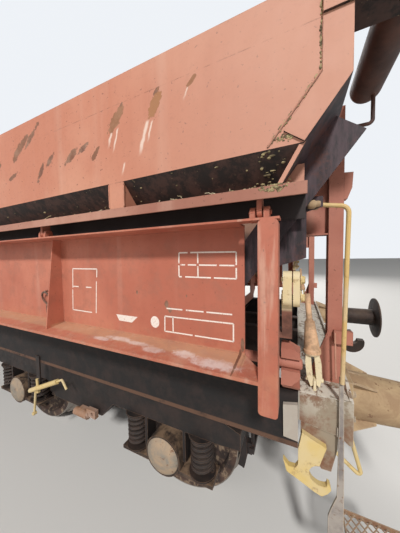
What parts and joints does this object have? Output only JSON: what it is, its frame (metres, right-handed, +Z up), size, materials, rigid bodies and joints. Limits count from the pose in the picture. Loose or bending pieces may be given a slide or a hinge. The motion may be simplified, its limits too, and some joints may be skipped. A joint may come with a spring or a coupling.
{
  "type": "self-discharging hopper wagon",
  "caption": "Self-discharging hopper wagon with a saddle floor, side discharge doors hung from the shelf, bogies, buffers and handrails.",
  "frame": {"origin": "middle of the wagon on the ground plane at the wheels' flange tips", "axes": "+X along the wagon to end a (the near end in the picture), +Y to the far side, +Z up"},
  "size_m": [12.54, 2.932, 2.6598],
  "materials": {
    "red_paint": "matt, weathered",
    "floor_steel": "worn and rusty",
    "dark_frame": "matt, dirty",
    "cast_grey": "rough, dusty",
    "spring_steel": "dusty",
    "wheel_steel": "worn tread, rusty disc",
    "yellow_paint": "faded",
    "dark_steel": "greasy"
  },
  "bodies": {
    "wagon_body": {"air_reservoirs": "dark_frame", "body_bolsters": "dark_frame", "brake_cylinder": "dark_frame", "brake_pipe": "dark_frame", "buffer_casings": "red_paint", "buffer_heads": "dark_steel", "centre_sill": "dark_frame", "changeover_handles": "yellow_paint", "cross_frames": "red_paint", "cross_members": "dark_frame", "door_shafts": "dark_steel", "draw_hooks": "dark_steel", "end_posts": "red_paint", "end_rim": "red_paint", "end_tubes": "red_paint", "end_walls": "red_paint", "hand_levers": "yellow_paint", "handrails": "yellow_paint", "headstocks": "red_paint", "hinge_ears": "red_paint", "lock_levers": "red_paint", "middle_posts": "red_paint", "rope_hooks": "yellow_paint", "saddle_floor_far": "floor_steel", "saddle_floor_near": "floor_steel", "screw_couplings": "dark_steel", "shaft_brackets": "red_paint", "shelf_beams": "red_paint", "shunter_rails": "red_paint", "side_walls": "red_paint", "sole_bars": "red_paint", "top_rim": "red_paint", "wall_straps": "red_paint"},
    "bogie_a": {"bogie_frame_a": "dark_frame", "axle_boxes_a": "cast_grey", "springs_a": "spring_steel", "brake_gear_a": "dark_steel"},
    "wheelset_a1": {"axle_a1": "wheel_steel", "wheels_a1": "wheel_steel"},
    "wheelset_a2": {"axle_a2": "wheel_steel", "wheels_a2": "wheel_steel"},
    "door_near_a": {"door_near_a": "red_paint"},
    "door_far_a": {"door_far_a": "red_paint"},
    "bogie_b": {"bogie_frame_b": "dark_frame", "axle_boxes_b": "cast_grey", "springs_b": "spring_steel", "brake_gear_b": "dark_steel"},
    "wheelset_b1": {"axle_b1": "wheel_steel", "wheels_b1": "wheel_steel"},
    "wheelset_b2": {"axle_b2": "wheel_steel", "wheels_b2": "wheel_steel"},
    "door_near_b": {"door_near_b": "red_paint"},
    "door_far_b": {"door_far_b": "red_paint"}
  },
  "joints": [
    {"name": "bogie_a_swivel", "type": "hinge", "parent": "wagon_body", "child": "bogie_a", "pos_m": [3.7, 0, 0.885], "axis": [0, 0, 1], "range_deg": [-5, 5]},
    {"name": "wheelset_a1_spin", "type": "hinge", "parent": "bogie_a", "child": "wheelset_a1", "pos_m": [4.6, 0, 0.488], "axis": [0, 1, 0], "continuous": true},
    {"name": "wheelset_a2_spin", "type": "hinge", "parent": "bogie_a", "child": "wheelset_a2", "pos_m": [2.8, 0, 0.488], "axis": [0, 1, 0], "continuous": true},
    {"name": "door_near_a_hinge", "type": "hinge", "parent": "wagon_body", "child": "door_near_a", "pos_m": [2.73, -1.39, 1.99], "axis": [-1, 0, 0], "range_deg": [0, 50]},
    {"name": "door_far_a_hinge", "type": "hinge", "parent": "wagon_body", "child": "door_far_a", "pos_m": [2.73, 1.39, 1.99], "axis": [1, 0, 0], "range_deg": [0, 50]},
    {"name": "bogie_b_swivel", "type": "hinge", "parent": "wagon_body", "child": "bogie_b", "pos_m": [-3.7, 0, 0.885], "axis": [0, 0, 1], "range_deg": [-5, 5]},
    {"name": "wheelset_b1_spin", "type": "hinge", "parent": "bogie_b", "child": "wheelset_b1", "pos_m": [-4.6, 0, 0.488], "axis": [0, 1, 0], "continuous": true},
    {"name": "wheelset_b2_spin", "type": "hinge", "parent": "bogie_b", "child": "wheelset_b2", "pos_m": [-2.8, 0, 0.488], "axis": [0, 1, 0], "continuous": true},
    {"name": "door_near_b_hinge", "type": "hinge", "parent": "wagon_body", "child": "door_near_b", "pos_m": [-2.73, -1.39, 1.99], "axis": [-1, 0, 0], "range_deg": [0, 50]},
    {"name": "door_far_b_hinge", "type": "hinge", "parent": "wagon_body", "child": "door_far_b", "pos_m": [-2.73, 1.39, 1.99], "axis": [1, 0, 0], "range_deg": [0, 50]}
  ]
}
